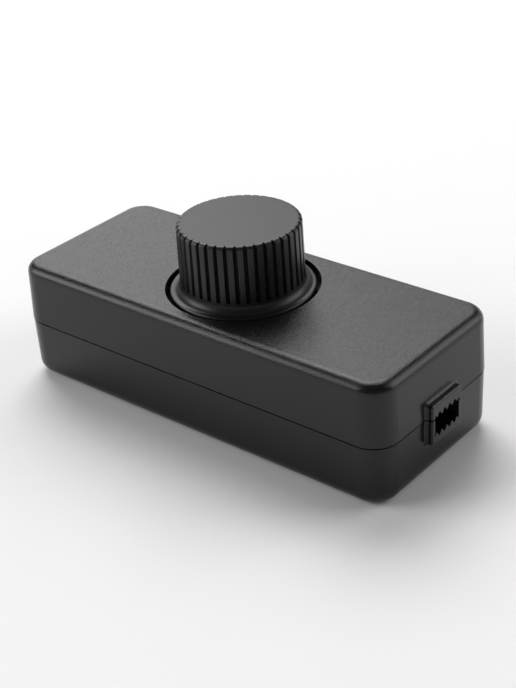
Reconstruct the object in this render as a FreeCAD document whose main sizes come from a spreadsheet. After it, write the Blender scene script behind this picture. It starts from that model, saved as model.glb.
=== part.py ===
import FreeCAD, Part
import math
import os
import types
import Sketcher

Vector = FreeCAD.Vector

# Driving dimensions, in millimetres and degrees. The housing stands on z = 0 with its middle on the z axis,
# its length along x and the knob's axis on z.
SIZES = {
    # Housing outside
    "case_length": 88.0,
    "case_width": 36.3,
    "case_height": 24.5,
    "seam_height": 12.4,
    "seam_gap": 0.3,
    "seam_step": 0.08,
    "corner_radius": 5.2,
    "top_edge_radius": 2.0,
    "bottom_edge_radius": 2.8,
    "cover_draft": 1.9,
    "base_draft": 0.7,
    # Housing walls
    "wall": 2.0,
    "roof": 2.0,
    "floor": 2.0,
    "tongue_height": 1.0,
    "tongue_width": 0.8,
    "tongue_clearance": 0.1,
    # Cord outlets
    "collar_width": 9.35,
    "collar_bottom": 7.15,
    "collar_top": 15.3,
    "collar_proud": 1.25,
    "collar_corner": 0.5,
    "collar_edge": 0.4,
    "collar_land": 0.1,
    "outlet_drop": 3.1,
    "tooth_count": 5,
    "tooth_pitch": 1.6,
    "tooth_depth": 0.9,
    "tooth_flat": 0.16,
    "tooth_margin": 0.6,
    "tooth_relief": 0.05,
    "grip_depth": 3.0,
    "grip_width": 12.0,
    # Housing screws and their posts
    "post_inset": 6.2,
    "post_bite": 0.45,
    "screw_radius": 1.45,
    "screw_clearance": 0.15,
    "screw_reach": 6.0,
    "pilot_clearance": 0.04,
    "pilot_spare": 1.0,
    "screw_head_radius": 2.7,
    "screw_head_height": 1.9,
    "screw_head_depth": 3.2,
    "screw_head_clearance": 0.25,
    # Knob opening and the well below it
    "opening_margin": 3.42,
    "opening_edge": 0.15,
    "well_depth": 4.0,
    "well_floor": 1.6,
    "well_wall": 1.5,
    "neck_clearance": 0.3,
    # Knob
    "knob_height": 13.1,
    "knob_taper": 0.18,
    "knob_edge_radius": 0.7,
    "knob_shell": 2.0,
    "knob_roof": 2.2,
    "skirt_gap": 0.87,
    "skirt_reach": 1.98,
    "skirt_drop": 0.25,
    "skirt_edge_radius": 0.2,
    "skirt_wall": 1.7,
    "skirt_recess": 1.2,
    "skirt_lift": 0.9,
    "flare_radius": 1.62,
    "flute_count": 40,
    "flute_depth": 0.85,
    "flute_outer_width": 0.86,
    "flute_inner_width": 0.16,
    "flute_lift": 0.35,
    "hub_radius": 4.6,
    "hub_lift": 0.6,
    "rib_width": 1.2,
    "rib_count": 4,
    "rib_lift": 3.0,
    "bore_clearance": 0.03,
    "bore_wall": 0.5,
    # Potentiometer
    "pot_radius": 8.5,
    "pot_wall": 0.8,
    "pot_height": 3.6,
    "pot_roof": 1.0,
    "neck_radius": 4.2,
    "neck_drop": 0.5,
    "pot_gap": 0.4,
    "track_thickness": 1.2,
    "track_tab_width": 13.0,
    "track_tab_reach": 2.4,
    "shaft_radius": 3.0,
    "shaft_clearance": 0.05,
    "shaft_flat": 1.5,
    "shaft_engagement": 11.0,
    "flat_lift": 1.0,
    "rotor_radius": 6.0,
    "rotor_clearance": 0.3,
    "rotor_thickness": 1.3,
    "pivot_radius": 1.5,
    "pivot_depth": 1.6,
    "stop_width": 3.0,
    "stop_clearance": 0.3,
    "wiper_thickness": 0.3,
    "wiper_outer_radius": 5.6,
    "wiper_inner_radius": 2.2,
    "wiper_contact_radius": 0.7,
    "wiper_contact_place": 4.6,
    "wiper_gap": 0.05,
    "clip_radius": 4.0,
    "clip_thickness": 0.6,
    "clip_groove": 0.5,
    "clip_play": 0.3,
    "pot_leg_width": 1.0,
    "pot_leg_thickness": 0.5,
    "pot_leg_pitch": 5.0,
    # Circuit board
    "board_thickness": 1.6,
    "board_standoff": 3.6,
    "board_end_gap": 0.7,
    "board_side_gap": 0.6,
    "pillar_radius": 2.2,
    "pillar_inset": 3.0,
    "peg_radius": 1.0,
    "peg_rise": 0.6,
    "peg_clearance": 0.1,
    "lead_radius": 0.4,
    "lead_run_radius": 0.34,
    "lead_clearance": 0.15,
    "lead_tail": 1.4,
    "part_gap": 1.6,
    "part_headroom": 0.9,
    # Terminal blocks
    "terminal_edge": 0.4,
    "terminal_depth": 8.0,
    "terminal_width": 11.0,
    "terminal_rise": 1.1,
    "terminal_pitch": 5.0,
    "wire_radius": 1.25,
    "cage_back": 0.8,
    "cage_depth": 4.6,
    "cage_width": 3.8,
    "cage_roof": 1.175,
    "cage_clearance": 0.05,
    "clamp_screw_radius": 1.25,
    "clamp_screw_head_radius": 1.75,
    "clamp_screw_head_height": 1.6,
    "clamp_screw_clearance": 0.05,
    "clamp_screw_rise": 0.7,
    # Triac and heat sink
    "triac_length": 9.2,
    "triac_headroom": 1.1,
    "triac_thickness": 4.4,
    "triac_tab_length": 6.2,
    "triac_tab_thickness": 1.3,
    "triac_lead_pitch": 2.54,
    "triac_lead_run": 1.5,
    "triac_lift": 0.6,
    "sink_thickness": 1.5,
    "sink_headroom": 0.7,
    "sink_overhang": 0.5,
    "sink_side_gap": 0.6,
    "tab_screw_radius": 1.5,
    "tab_screw_head_radius": 2.7,
    "tab_screw_head_height": 2.0,
    "tab_screw_clearance": 0.05,
    # Other parts on the board
    "choke_gap": 2.2,
    "choke_lead_pitch": 5.0,
    "capacitor_gap": 1.1,
    "capacitor_width": 6.2,
    "capacitor_lead_inset": 1.5,
    "fuse_radius": 4.1,
    "fuse_height": 8.0,
    "fuse_lead_pitch": 5.08,
    "timing_length": 7.2,
    "timing_width": 3.0,
    "timing_height": 7.5,
    "timing_lead_pitch": 5.0,
    "axial_length": 3.8,
    "axial_radius": 1.0,
    "axial_lead_pitch": 7.6,
}


class Size:
    """A number together with the formula that binds it to the sheet."""

    def __init__(self, value, formula):
        self.value = value
        self.formula = formula

    def __add__(self, other):
        other = sized(other)
        return Size(self.value + other.value, f"({self.formula} + {other.formula})")

    def __sub__(self, other):
        other = sized(other)
        return Size(self.value - other.value, f"({self.formula} - {other.formula})")

    def __mul__(self, other):
        other = sized(other)
        return Size(self.value * other.value, f"({self.formula} * {other.formula})")

    def __truediv__(self, other):
        other = sized(other)
        return Size(self.value / other.value, f"({self.formula} / {other.formula})")

    def __neg__(self):
        return self * -1

    def __radd__(self, other):
        return sized(other) + self

    def __rsub__(self, other):
        return sized(other) - self

    def __rmul__(self, other):
        return sized(other) * self


def sized(number):
    """The number as a Size."""
    if isinstance(number, Size):
        return number
    return Size(float(number), f"({float(number)})")


ZERO = sized(0)
DIAGONAL = sized(math.sqrt(2))
doc = FreeCAD.newDocument("cord_dimmer")
sheet = doc.addObject("Spreadsheet::Sheet", "Sizes")
for row, (size_name, size_value) in enumerate(SIZES.items(), start=1):
    sheet.set(f"A{row}", size_name)
    sheet.set(f"B{row}", str(size_value))
    sheet.setAlias(f"B{row}", size_name)
doc.recompute()
s = types.SimpleNamespace(**{name: Size(value, f"Sizes.{name}") for name, value in SIZES.items()})

# Levels and places that several pieces share
half_length = s.case_length / 2
half_width = s.case_width / 2
cover_rim = s.seam_height + s.seam_gap / 2
base_rim = s.seam_height - s.seam_gap / 2
ceiling = s.case_height - s.roof
post_x = half_length - s.post_inset
post_y = half_width - s.post_inset
cavity_corner = s.corner_radius - s.seam_step - s.wall
post_radius = (s.post_inset - s.corner_radius) * DIAGONAL + cavity_corner + s.post_bite
opening_radius = half_width - s.opening_margin
skirt_radius = opening_radius - s.skirt_gap
knob_foot_radius = skirt_radius - s.skirt_reach
knob_radius = knob_foot_radius - s.knob_taper
well_top = s.case_height - s.well_depth
well_under = well_top - s.well_floor
lower_tips = s.seam_height - s.outlet_drop
outlet_half = s.tooth_pitch * (s.tooth_count - 1) / 2 + s.tooth_margin
outer_face = half_length + s.collar_proud
board_under = s.floor + s.board_standoff
board_top = board_under + s.board_thickness
board_half_length = post_x - post_radius - s.board_end_gap
board_half_width = half_width - s.wall - s.seam_step - s.board_side_gap
pillar_x = board_half_length - s.pillar_inset
pillar_y = board_half_width - s.pillar_inset
lead_end = board_under - s.lead_tail
part_top = well_under - s.part_headroom
pot_top = well_under - s.pot_gap
track_top = pot_top - s.pot_height
switch_top = track_top - s.track_thickness
pot_ceiling = pot_top - s.pot_roof
neck_top = well_top - s.neck_drop
rotor_top = pot_ceiling - s.rotor_clearance
rotor_under = rotor_top - s.rotor_thickness
clip_under = neck_top + s.clip_play
skirt_under = well_top + s.skirt_lift
skirt_top = s.case_height - s.skirt_drop
knob_top = s.case_height + s.knob_height
hub_under = skirt_under + s.hub_lift
shaft_top = hub_under + s.shaft_engagement
wire_level = (s.seam_height + lower_tips) / 2
terminal_outer = board_half_length - s.terminal_edge
terminal_middle = terminal_outer - s.terminal_depth / 2
terminal_inner = terminal_outer - s.terminal_depth
cage_middle = terminal_inner + s.cage_back + s.cage_depth / 2
window_half = s.wire_radius + s.cage_clearance
cage_top = wire_level + window_half + s.cage_roof
clamp_screw_under = wire_level + window_half + s.clamp_screw_clearance
clamp_head_under = cage_top + s.clamp_screw_rise
terminal_top = clamp_head_under + s.clamp_screw_head_height + s.terminal_rise
part_run = terminal_inner - s.pot_radius


# Drawing and feature helpers

def new_body(name):
    """An empty body with its name as its label."""
    return doc.addObject("PartDesign::Body", name)


def origin_plane(body, role):
    """One of the body's own origin planes or axes."""
    return next(item for item in body.Origin.OriginFeatures if item.Role == role)


def new_sketch(body, name, role, offset=ZERO):
    """A sketch on one of the body's origin planes, moved along the plane's normal."""
    sketch = body.newObject("Sketcher::SketchObject", name)
    sketch.AttachmentSupport = [(origin_plane(body, role), "")]
    sketch.MapMode = "FlatFace"
    sketch.setExpression("AttachmentOffset.Base.z", offset.formula)
    return sketch


def hold(sketch, constraint, size):
    """Adds a dimension and binds it to the sheet."""
    row = sketch.addConstraint(Sketcher.Constraint(*constraint, size.value))
    sketch.setExpression(f"Constraints[{row}]", size.formula)


def hold_point(sketch, geometry, vertex, x, y):
    """Dimensions a point from the sketch's origin."""
    hold(sketch, ("DistanceX", -1, 1, geometry, vertex), x)
    hold(sketch, ("DistanceY", -1, 1, geometry, vertex), y)


def draw_polygon(sketch, points):
    """A closed outline of straight lines through the points."""
    first = sketch.GeometryCount
    count = len(points)
    for index in range(count):
        start, end = points[index], points[(index + 1) % count]
        sketch.addGeometry(Part.LineSegment(Vector(start[0].value, start[1].value),
                                            Vector(end[0].value, end[1].value)))
    for index, (x, y) in enumerate(points):
        line = first + index
        following = first + (index + 1) % count
        sketch.addConstraint(Sketcher.Constraint("Coincident", line, 2, following, 1))
        hold_point(sketch, line, 1, x, y)


def draw_rectangle(sketch, left, right, bottom, top):
    """A plain rectangle."""
    draw_polygon(sketch, [(left, bottom), (right, bottom), (right, top), (left, top)])


def draw_circle(sketch, x, y, radius):
    """A circle held at its centre."""
    circle = sketch.addGeometry(Part.Circle(Vector(x.value, y.value), Vector(0, 0, 1), radius.value))
    hold_point(sketch, circle, 3, x, y)
    hold(sketch, ("Radius", circle), radius)


def draw_rounded(sketch, half_x, half_y, radius):
    """A rectangle about the origin with rounded corners."""
    quarter = math.pi / 2
    in_x, in_y = half_x - radius, half_y - radius
    corners = [(in_x, in_y), (-in_x, in_y), (-in_x, -in_y), (in_x, -in_y)]
    arcs = []
    for turn, (x, y) in enumerate(corners):
        circle = Part.Circle(Vector(x.value, y.value), Vector(0, 0, 1), radius.value)
        arcs.append(sketch.addGeometry(Part.ArcOfCircle(circle, turn * quarter, (turn + 1) * quarter)))
    for turn, arc in enumerate(arcs):
        following = arcs[(turn + 1) % 4]
        start, end = sketch.getPoint(arc, 2), sketch.getPoint(following, 1)
        side = sketch.addGeometry(Part.LineSegment(start, end))
        sketch.addConstraint(Sketcher.Constraint("Tangent", arc, 2, side, 1))
        sketch.addConstraint(Sketcher.Constraint("Tangent", side, 2, following, 1))
        hold_point(sketch, arc, 3, *corners[turn])
        hold(sketch, ("Radius", arc), radius)


def draw_flatted(sketch, radius, flat):
    """A circle about the origin with one flat across it, towards +y."""
    reach = (radius.value ** 2 - flat.value ** 2) ** 0.5
    right, left = Vector(reach, flat.value), Vector(-reach, flat.value)
    arc = sketch.addGeometry(Part.Arc(left, Vector(0, -radius.value), right))
    line = sketch.addGeometry(Part.LineSegment(right, left))
    sketch.addConstraint(Sketcher.Constraint("Coincident", arc, 3, -1, 1))
    sketch.addConstraint(Sketcher.Constraint("Coincident", arc, 2, line, 1))
    sketch.addConstraint(Sketcher.Constraint("Coincident", line, 2, arc, 1))
    sketch.addConstraint(Sketcher.Constraint("Horizontal", line))
    hold(sketch, ("Radius", arc), radius)
    hold(sketch, ("DistanceY", -1, 1, line, 1), flat)


def extrude(kind, body, name, sketch, length, draft=None, backwards=False):
    """A pad or pocket of the sketch. A pad goes along the plane's normal, a pocket against it."""
    feature = body.newObject("PartDesign::" + kind, name)
    feature.Profile = sketch
    feature.setExpression("Length", length.formula)
    feature.Reversed = backwards
    if draft is not None:
        feature.setExpression("TaperAngle", (-draft).formula)
    doc.recompute()
    return feature


def pad(body, name, sketch, length, **options):
    """Adds the extruded sketch to the body."""
    return extrude("Pad", body, name, sketch, length, **options)


def pocket(body, name, sketch, length, **options):
    """Cuts the extruded sketch out of the body."""
    return extrude("Pocket", body, name, sketch, length, **options)


def revolve(body, name, sketch):
    """Turns a half profile, drawn on the XZ plane, round the z axis."""
    feature = body.newObject("PartDesign::Revolution", name)
    feature.Profile = sketch
    feature.ReferenceAxis = (sketch, ["V_Axis"])
    feature.Angle = 360
    doc.recompute()
    return feature


def mirror_ends(body, name, originals):
    """Repeats features of the +x end at the -x end."""
    feature = body.newObject("PartDesign::Mirrored", name)
    feature.Originals = originals
    feature.MirrorPlane = (origin_plane(body, "YZ_Plane"), [""])
    body.Tip = feature
    doc.recompute()


def repeat_round(body, name, original, count):
    """Repeats a feature evenly round the z axis."""
    feature = body.newObject("PartDesign::PolarPattern", name)
    feature.Originals = [original]
    feature.Axis = (origin_plane(body, "Z_Axis"), [""])
    feature.Angle = 360
    feature.setExpression("Occurrences", count.formula)
    body.Tip = feature
    doc.recompute()


def near(value, size):
    """Whether a coordinate lies at a size."""
    return abs(value - size.value) < 0.001


def round_edges(body, name, radius, chosen):
    """Rounds those edges of the body so far whose corner points pass the test."""
    base = body.Tip
    names = [f"Edge{number}" for number, edge in enumerate(base.Shape.Edges, start=1)
             if chosen([vertex.Point for vertex in edge.Vertexes])]
    feature = body.newObject("PartDesign::Fillet", name)
    feature.Base = (base, names)
    feature.setExpression("Radius", radius.formula)
    doc.recompute()


def place(item, spot):
    """Binds the item's position to the sheet."""
    for axis, size in zip("xyz", spot):
        item.setExpression(f"Placement.Base.{axis}", sized(size).formula)


def make_box(name, spot, span):
    """A block from its lowest corner."""
    item = doc.addObject("Part::Box", name)
    for side, size in zip(("Length", "Width", "Height"), span):
        item.setExpression(side, size.formula)
    place(item, spot)
    return item


def make_rod(name, spot, radius, length, axis=Vector(0, 0, 1)):
    """A cylinder from the middle of its starting face, along an axis."""
    item = doc.addObject("Part::Cylinder", name)
    item.Placement.Rotation = FreeCAD.Rotation(Vector(0, 0, 1), axis)
    item.setExpression("Radius", radius.formula)
    item.setExpression("Height", length.formula)
    place(item, spot)
    return item


def fuse(name, pieces):
    """One solid from several."""
    item = doc.addObject("Part::MultiFuse", name)
    item.Shapes = pieces
    item.Refine = True
    return item


def cut(name, base, tools):
    """A solid with others cut out of it."""
    item = doc.addObject("Part::Cut", name)
    item.Base = base
    item.Tool = fuse(name + "_cuts", tools) if len(tools) > 1 else tools[0]
    return item


def group(name, pieces):
    """Like pieces kept together as separate solids."""
    item = doc.addObject("Part::Compound", name)
    item.Links = pieces
    return item


# Housing

def corner_posts(sketch, radius):
    """A circle at each of the four screw posts."""
    for x in (post_x, -post_x):
        for y in (post_y, -post_y):
            draw_circle(sketch, x, y, radius)


def add_collars(body, grip_bottom, bottom, top, outer_level):
    """A grip block behind each end wall and a collar in front of it, rounded away from the seam."""
    grip_half = s.grip_width / 2
    collar_half = s.collar_width / 2
    sketch = new_sketch(body, "grip_outline", "YZ_Plane", half_length - s.wall - s.grip_depth)
    draw_rectangle(sketch, -grip_half, grip_half, grip_bottom, top)
    grip = pad(body, "grip", sketch, s.grip_depth + s.wall / 2)
    sketch = new_sketch(body, "collar_outline", "YZ_Plane", half_length - s.wall / 2)
    draw_rectangle(sketch, -collar_half, collar_half, bottom, top)
    frame = pad(body, "collar", sketch, s.wall / 2 + s.collar_proud)
    mirror_ends(body, "far_collar", [grip, frame])

    def at_outer_corner(point):
        return near(point.z, outer_level) and near(abs(point.y), collar_half)

    def at_front(point):
        return near(abs(point.x), outer_face)

    def at_root(point):
        on_wall = half_length.value - s.wall.value < abs(point.x) < half_length.value
        return on_wall and (near(abs(point.y), collar_half) or near(point.z, outer_level))

    round_edges(body, "collar_corners", s.collar_corner,
                lambda points: all(at_outer_corner(point) for point in points)
                and any(at_front(point) for point in points))
    seam_level = bottom if outer_level is top else top
    round_edges(body, "collar_edges", s.collar_edge,
                lambda points: all(at_front(point) for point in points)
                and not all(near(point.z, seam_level) for point in points))
    round_edges(body, "collar_root", s.collar_proud - s.collar_edge - s.collar_land,
                lambda points: all(at_root(point) for point in points))


def tooth_row(tips, step):
    """Points of a row of teeth from -y to +y, with the roots one step beyond the tips."""
    last = int(s.tooth_count.value) - 1
    half_flat = s.tooth_flat / 2
    side = tips + step * s.tooth_margin / (s.tooth_pitch / 2)
    points = [(-outlet_half, side)]
    for number in range(last + 1):
        tip = s.tooth_pitch * (number - last / 2)
        points += [(tip - half_flat, tips), (tip + half_flat, tips)]
        if number < last:
            points.append((tip + s.tooth_pitch / 2, tips + step))
    return points + [(outlet_half, side)]


def cut_outlets(body, row, far_level):
    """Cuts the toothed cord outlet through the collar, wall and grip block of both ends."""
    sketch = new_sketch(body, "outlet_outline", "YZ_Plane", outer_face)
    draw_polygon(sketch, row + [(outlet_half, far_level), (-outlet_half, far_level)])
    outlet = pocket(body, "outlet", sketch, s.collar_proud + s.wall + s.grip_depth)
    mirror_ends(body, "far_outlet", [outlet])


def make_base():
    """The lower half: a drafted tray with screw posts, board pillars and the lower halves of the outlets."""
    body = new_body("base")
    inset = s.seam_step + s.wall
    sketch = new_sketch(body, "outline", "XY_Plane", base_rim)
    draw_rounded(sketch, half_length - s.seam_step, half_width - s.seam_step, s.corner_radius - s.seam_step)
    pad(body, "block", sketch, base_rim, draft=s.base_draft, backwards=True)
    round_edges(body, "bottom_edge", s.bottom_edge_radius,
                lambda points: all(near(point.z, ZERO) for point in points))
    sketch = new_sketch(body, "cavity_outline", "XY_Plane", base_rim)
    draw_rounded(sketch, half_length - inset, half_width - inset, s.corner_radius - inset)
    pocket(body, "cavity", sketch, base_rim - s.floor, draft=s.base_draft)

    sketch = new_sketch(body, "post_outline", "XY_Plane", s.floor / 2)
    corner_posts(sketch, post_radius)
    pad(body, "posts", sketch, s.seam_height - s.floor / 2)
    sketch = new_sketch(body, "tongue_outline", "XY_Plane", base_rim)
    for reach in (s.tongue_width, ZERO):
        draw_rounded(sketch, half_length - inset + reach, half_width - inset + reach,
                     s.corner_radius - inset + reach)
    pad(body, "tongue", sketch, s.tongue_height)
    sketch = new_sketch(body, "tongue_gap_outline", "YZ_Plane", outer_face)
    gap_half = s.grip_width / 2 + s.tongue_clearance
    draw_rectangle(sketch, -gap_half, gap_half, base_rim, base_rim + s.tongue_height * 2)
    gap = pocket(body, "tongue_gap", sketch, s.collar_proud + s.wall + s.grip_depth)
    mirror_ends(body, "far_tongue_gap", [gap])

    add_collars(body, s.floor / 2, s.collar_bottom, base_rim, s.collar_bottom)
    cut_outlets(body, tooth_row(lower_tips, -s.tooth_depth), base_rim + s.tongue_height)

    sketch = new_sketch(body, "pillar_outline", "XY_Plane", s.floor / 2)
    board_corners(sketch, s.pillar_radius)
    pad(body, "pillars", sketch, board_under - s.floor / 2)
    sketch = new_sketch(body, "peg_outline", "XY_Plane", board_under)
    board_corners(sketch, s.peg_radius)
    pad(body, "pegs", sketch, s.board_thickness + s.peg_rise)
    sketch = new_sketch(body, "head_recess_outline", "XY_Plane")
    corner_posts(sketch, s.screw_head_radius + s.screw_head_clearance)
    pocket(body, "head_recesses", sketch, s.screw_head_depth, backwards=True)
    sketch = new_sketch(body, "screw_hole_outline", "XY_Plane")
    corner_posts(sketch, s.screw_radius + s.screw_clearance)
    pocket(body, "screw_holes", sketch, s.seam_height + s.tongue_height, backwards=True)
    return body


def make_cover():
    """The upper half: a drafted lid with a round well for the knob and the upper halves of the outlets."""
    body = new_body("top_cover")
    sketch = new_sketch(body, "outline", "XY_Plane", cover_rim)
    draw_rounded(sketch, half_length, half_width, s.corner_radius)
    pad(body, "block", sketch, s.case_height - cover_rim, draft=s.cover_draft)
    round_edges(body, "top_edge", s.top_edge_radius,
                lambda points: all(near(point.z, s.case_height) for point in points))
    sketch = new_sketch(body, "cavity_outline", "XY_Plane", cover_rim)
    draw_rounded(sketch, half_length - s.wall, half_width - s.wall, s.corner_radius - s.wall)
    pocket(body, "cavity", sketch, ceiling - cover_rim, draft=s.cover_draft, backwards=True)

    sketch = new_sketch(body, "post_outline", "XY_Plane", s.seam_height)
    corner_posts(sketch, post_radius)
    pad(body, "posts", sketch, ceiling + s.roof / 2 - s.seam_height)
    sketch = new_sketch(body, "rebate_outline", "XY_Plane", base_rim)
    inset = s.seam_step + s.wall
    for reach in (s.tongue_width + s.tongue_clearance, -s.tongue_clearance):
        draw_rounded(sketch, half_length - inset + reach, half_width - inset + reach,
                     s.corner_radius - inset + reach)
    pocket(body, "rebate", sketch, s.tongue_height + s.tongue_clearance, backwards=True)
    add_collars(body, cover_rim, cover_rim, s.collar_top, s.collar_top)
    cut_outlets(body, tooth_row(cover_rim + s.tooth_relief, s.tooth_depth), base_rim)

    sketch = new_sketch(body, "well_outline", "XY_Plane", well_under)
    draw_circle(sketch, ZERO, ZERO, opening_radius + s.well_wall)
    pad(body, "well", sketch, s.case_height - s.roof / 2 - well_under)
    sketch = new_sketch(body, "opening_outline", "XY_Plane", s.case_height)
    draw_circle(sketch, ZERO, ZERO, opening_radius)
    pocket(body, "opening", sketch, s.well_depth)
    round_edges(body, "opening_edge", s.opening_edge,
                lambda points: all(near(point.z, s.case_height) and near(point.x, opening_radius)
                                   for point in points))
    sketch = new_sketch(body, "neck_hole_outline", "XY_Plane", well_top)
    draw_circle(sketch, ZERO, ZERO, s.neck_radius + s.neck_clearance)
    pocket(body, "neck_hole", sketch, s.well_floor * 2)
    sketch = new_sketch(body, "pilot_outline", "XY_Plane", s.seam_height)
    corner_posts(sketch, s.screw_radius + s.pilot_clearance)
    pocket(body, "pilot_holes", sketch, s.screw_reach + s.pilot_spare, backwards=True)
    return body


def make_case_screws():
    """Four pan-head screws driven up from the underside, one in each post."""
    screws = []
    for number, (side, end) in enumerate([(1, 1), (1, -1), (-1, 1), (-1, -1)], start=1):
        x, y = post_x * side, post_y * end
        under = s.screw_head_depth - s.screw_head_height
        head = make_rod(f"case_screw_head_{number}", (x, y, under), s.screw_head_radius, s.screw_head_height)
        shank = make_rod(f"case_screw_shank_{number}", (x, y, under), s.screw_radius,
                         s.seam_height + s.screw_reach - under)
        screws.append(fuse(f"case_screw_{number}", [head, shank]))
    return group("case_screws", screws)


# Knob

def make_knob():
    """The knob: a fluted cap that flares into a skirt, hollow below, with a ribbed hub on the shaft."""
    body = new_body("knob")
    inner_radius = knob_radius - s.knob_shell
    lip_radius = knob_foot_radius + s.flare_radius + s.skirt_edge_radius / 4
    underside = knob_top - s.knob_roof
    recess_top = skirt_under + s.skirt_recess
    sketch = new_sketch(body, "profile", "XZ_Plane")
    draw_polygon(sketch, [
        (ZERO, knob_top),
        (knob_radius, knob_top),
        (knob_foot_radius, skirt_top + s.skirt_edge_radius),
        (lip_radius, skirt_top + s.skirt_edge_radius / 2),
        (skirt_radius, skirt_top),
        (skirt_radius, skirt_under),
        (skirt_radius - s.skirt_wall, skirt_under),
        (skirt_radius - s.skirt_wall, recess_top),
        (inner_radius, recess_top),
        (inner_radius, underside),
        (ZERO, underside),
    ])
    revolve(body, "cap", sketch)
    round_edges(body, "top_edge", s.knob_edge_radius,
                lambda points: all(near(point.z, knob_top) and near(point.x, knob_radius)
                                   for point in points))
    round_edges(body, "flare", s.flare_radius,
                lambda points: all(near(point.x, knob_foot_radius) for point in points))
    round_edges(body, "skirt_edge", s.skirt_edge_radius,
                lambda points: all(near(point.x, skirt_radius) and near(point.z, skirt_top)
                                   for point in points))

    sketch = new_sketch(body, "flute_outline", "XY_Plane", knob_top)
    floor_radius = knob_radius - s.flute_depth
    clear_radius = skirt_radius
    draw_polygon(sketch, [
        (floor_radius, -s.flute_inner_width / 2),
        (knob_foot_radius, -s.flute_outer_width / 2),
        (clear_radius, -s.flute_outer_width / 2),
        (clear_radius, s.flute_outer_width / 2),
        (knob_foot_radius, s.flute_outer_width / 2),
        (floor_radius, s.flute_inner_width / 2),
    ])
    flute_end = skirt_top + s.skirt_edge_radius + s.flare_radius + s.flute_lift
    flute = pocket(body, "flute", sketch, knob_top - flute_end)
    repeat_round(body, "flutes", flute, s.flute_count)

    sketch = new_sketch(body, "hub_outline", "XY_Plane", hub_under)
    draw_circle(sketch, ZERO, ZERO, s.hub_radius)
    pad(body, "hub", sketch, underside + s.knob_roof / 2 - hub_under)
    sketch = new_sketch(body, "rib_outline", "XY_Plane", hub_under + s.rib_lift)
    draw_rectangle(sketch, s.hub_radius - s.bore_wall, inner_radius + s.bore_wall,
                   -s.rib_width / 2, s.rib_width / 2)
    rib = pad(body, "rib", sketch, underside + s.knob_roof / 2 - hub_under - s.rib_lift)
    repeat_round(body, "ribs", rib, s.rib_count)
    sketch = new_sketch(body, "bore_outline", "XY_Plane", hub_under)
    draw_flatted(sketch, s.shaft_radius + s.bore_clearance, s.shaft_flat + s.bore_clearance)
    pocket(body, "bore", sketch, s.shaft_engagement, backwards=True)
    return body


# Potentiometer

def make_shaft():
    """The turning shaft with its rotor disc, stop lug, pivot, clip groove and flat."""
    body = new_body("pot_shaft")
    groove_radius = s.shaft_radius - s.clip_groove
    sketch = new_sketch(body, "profile", "XZ_Plane")
    draw_polygon(sketch, [
        (ZERO, switch_top - s.pivot_depth),
        (s.pivot_radius, switch_top - s.pivot_depth),
        (s.pivot_radius, rotor_under),
        (s.rotor_radius, rotor_under),
        (s.rotor_radius, rotor_top),
        (s.shaft_radius, rotor_top),
        (s.shaft_radius, clip_under),
        (groove_radius, clip_under),
        (groove_radius, clip_under + s.clip_thickness),
        (s.shaft_radius, clip_under + s.clip_thickness),
        (s.shaft_radius, shaft_top),
        (ZERO, shaft_top),
    ])
    revolve(body, "turning", sketch)
    sketch = new_sketch(body, "lug_outline", "XY_Plane", rotor_under)
    draw_rectangle(sketch, s.shaft_radius, s.pot_radius - s.pot_wall - s.stop_clearance,
                   -s.stop_width / 2, s.stop_width / 2)
    pad(body, "lug", sketch, s.rotor_thickness)
    sketch = new_sketch(body, "flat_outline", "XY_Plane", shaft_top)
    draw_rectangle(sketch, -s.shaft_radius, s.shaft_radius, s.shaft_flat, s.shaft_radius * 2)
    pocket(body, "flat", sketch, s.shaft_engagement + s.flat_lift)
    return body


def make_pot_housing():
    """The potentiometer's front can, with the neck that guides the shaft and the stop inside."""
    body = new_body("pot_housing")
    bore = s.shaft_radius + s.shaft_clearance
    inside = s.pot_radius - s.pot_wall
    sketch = new_sketch(body, "profile", "XZ_Plane")
    draw_polygon(sketch, [
        (bore, pot_ceiling),
        (inside, pot_ceiling),
        (inside, track_top),
        (s.pot_radius, track_top),
        (s.pot_radius, pot_top),
        (s.neck_radius, pot_top),
        (s.neck_radius, neck_top),
        (bore, neck_top),
    ])
    revolve(body, "can", sketch)
    sketch = new_sketch(body, "stop_outline", "XY_Plane", track_top)
    draw_rectangle(sketch, -inside - s.pot_wall / 2, -s.rotor_radius - s.stop_clearance,
                   -s.stop_width / 2, s.stop_width / 2)
    pad(body, "stop", sketch, pot_ceiling - track_top)
    return body


def make_clip():
    """The spring clip in the shaft's groove above the neck."""
    disc = make_rod("clip_disc", (0, 0, clip_under), s.clip_radius, s.clip_thickness)
    inner = s.shaft_radius - s.clip_groove + s.shaft_clearance
    hole = make_rod("clip_hole", (0, 0, clip_under), inner, s.clip_thickness)
    mouth = make_box("clip_mouth", (0, -inner, clip_under), (s.clip_radius, inner * 2, s.clip_thickness))
    return cut("pot_clip", disc, [hole, mouth])


def make_wiper():
    """The wiper ring below the rotor, with its two contacts close above the track."""
    level = rotor_under - s.wiper_thickness
    ring = cut("wiper_ring", make_rod("wiper_disc", (0, 0, level), s.wiper_outer_radius, s.wiper_thickness),
               [make_rod("wiper_hole", (0, 0, level), s.wiper_inner_radius, s.wiper_thickness)])
    contact_under = track_top + s.wiper_gap
    contacts = [make_rod(f"wiper_contact_{number}", (s.wiper_contact_place * side, 0, contact_under),
                         s.wiper_contact_radius, level + s.wiper_thickness - contact_under)
                for number, side in enumerate((1, -1), start=1)]
    return fuse("pot_wiper", [ring] + contacts)


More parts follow.
